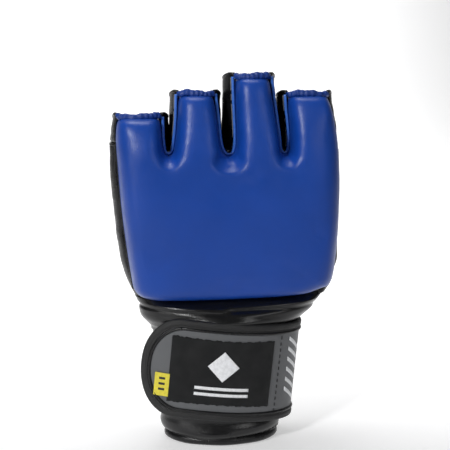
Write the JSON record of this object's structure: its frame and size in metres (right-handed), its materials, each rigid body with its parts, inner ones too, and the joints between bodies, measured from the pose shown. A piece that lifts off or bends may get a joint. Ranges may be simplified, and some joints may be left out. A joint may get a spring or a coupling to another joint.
{
  "type": "mma glove",
  "caption": "Left open-finger combat sports glove with a padded leather back, finger stalls, an open palm, a thumb hole and a wrap-around hook-and-loop wrist strap.",
  "frame": {"origin": "centre of the cuff's rim, where the wrist goes in", "axes": "+X towards the thumb, +Y out of the palm, +Z from the wrist towards the fingertips"},
  "size_m": [0.1281, 0.0621, 0.213],
  "materials": {
    "black_leather": "glossy",
    "blue_leather": "glossy",
    "blue_hem": "satin",
    "blue_piping": "satin",
    "foam": "matte",
    "lining": "matte",
    "black_binding": "satin",
    "elastic": "matte",
    "loop_pile": "matte",
    "hook": "matte",
    "grey_leather": "satin",
    "backing_fabric": "matte",
    "patch_fabric": "matte",
    "white_print": "satin",
    "yellow_tag": "satin",
    "thread": "matte"
  },
  "bodies": {
    "cuff": {"cuff_shell": "black_leather", "cuff_padding": "foam", "cuff_lining": "lining", "cuff_binding": "black_binding", "slit_binding": "black_binding", "elastic_gusset": "elastic", "loop_tape": "loop_pile", "strap_anchor": "black_binding", "anchor_stitches": "thread", "wrist_sleeve": "black_leather"},
    "hand": {"back_cover": "blue_leather", "firm_foam": "foam", "soft_foam": "foam", "back_lining": "lining", "palm_panel": "black_leather", "pinky_gusset": "black_leather", "thumb_gusset": "black_leather", "palm_binding": "black_binding", "thumb_binding": "black_binding", "web_pinky_ring": "black_leather", "web_ring_middle": "black_leather", "web_middle_index": "black_leather", "piping_pinky_ring": "blue_piping", "piping_ring_middle": "blue_piping", "piping_middle_index": "blue_piping"},
    "pinky": {"pinky_stall": "black_leather", "pinky_lining": "lining", "pinky_cover": "blue_leather", "pinky_foam": "foam", "pinky_hem": "blue_hem"},
    "ring": {"ring_stall": "black_leather", "ring_lining": "lining", "ring_cover": "blue_leather", "ring_foam": "foam", "ring_hem": "blue_hem"},
    "middle": {"middle_stall": "black_leather", "middle_lining": "lining", "middle_cover": "blue_leather", "middle_foam": "foam", "middle_hem": "blue_hem"},
    "index": {"index_stall": "black_leather", "index_lining": "lining", "index_cover": "blue_leather", "index_foam": "foam", "index_hem": "blue_hem"},
    "strap_base": {"strap_base_face": "grey_leather", "strap_base_backing": "backing_fabric", "strap_base_binding": "black_binding"},
    "strap_tab": {"strap_face": "grey_leather", "strap_backing": "backing_fabric", "strap_binding": "black_binding", "hook_tape": "hook", "strap_patch": "patch_fabric", "size_tag": "yellow_tag", "patch_emblem": "white_print", "seam_stitches": "thread", "side_stripes": "white_print"}
  },
  "joints": [
    {"name": "wrist_flex", "type": "hinge", "parent": "cuff", "child": "hand", "pos_m": [0, 0, 0.078], "axis": [1, 0, 0], "range_deg": [-20, 25], "stiffness_Nm_per_rad": 1.5, "deforming": ["wrist_sleeve"]},
    {"name": "pinky_flex", "type": "hinge", "parent": "hand", "child": "pinky", "pos_m": [-0.0455, 0.0172, 0.1732], "axis": [-1, 0, 0], "range_deg": [0, 60], "stiffness_Nm_per_rad": 0.15},
    {"name": "ring_flex", "type": "hinge", "parent": "hand", "child": "ring", "pos_m": [-0.0145, 0.0172, 0.1732], "axis": [-1, 0, 0], "range_deg": [0, 60], "stiffness_Nm_per_rad": 0.15},
    {"name": "middle_flex", "type": "hinge", "parent": "hand", "child": "middle", "pos_m": [0.016, 0.0172, 0.1732], "axis": [-1, 0, 0], "range_deg": [0, 60], "stiffness_Nm_per_rad": 0.15},
    {"name": "index_flex", "type": "hinge", "parent": "hand", "child": "index", "pos_m": [0.0465, 0.0172, 0.1732], "axis": [-1, 0, 0], "range_deg": [0, 60], "stiffness_Nm_per_rad": 0.15},
    {"name": "strap_root", "type": "hinge", "parent": "cuff", "child": "strap_base", "pos_m": [-0.014, 0.0292, 0.042], "axis": [0, 0, 1], "range_deg": [0, 50]},
    {"name": "strap_fold", "type": "hinge", "parent": "strap_base", "child": "strap_tab", "pos_m": [0.0453, 0, 0.042], "axis": [0, 0, 1], "range_deg": [0, 140]}
  ],
  "couplings": [
    {"joint": "strap_root", "follows": "strap_fold", "ratio": 0.3}
  ]
}
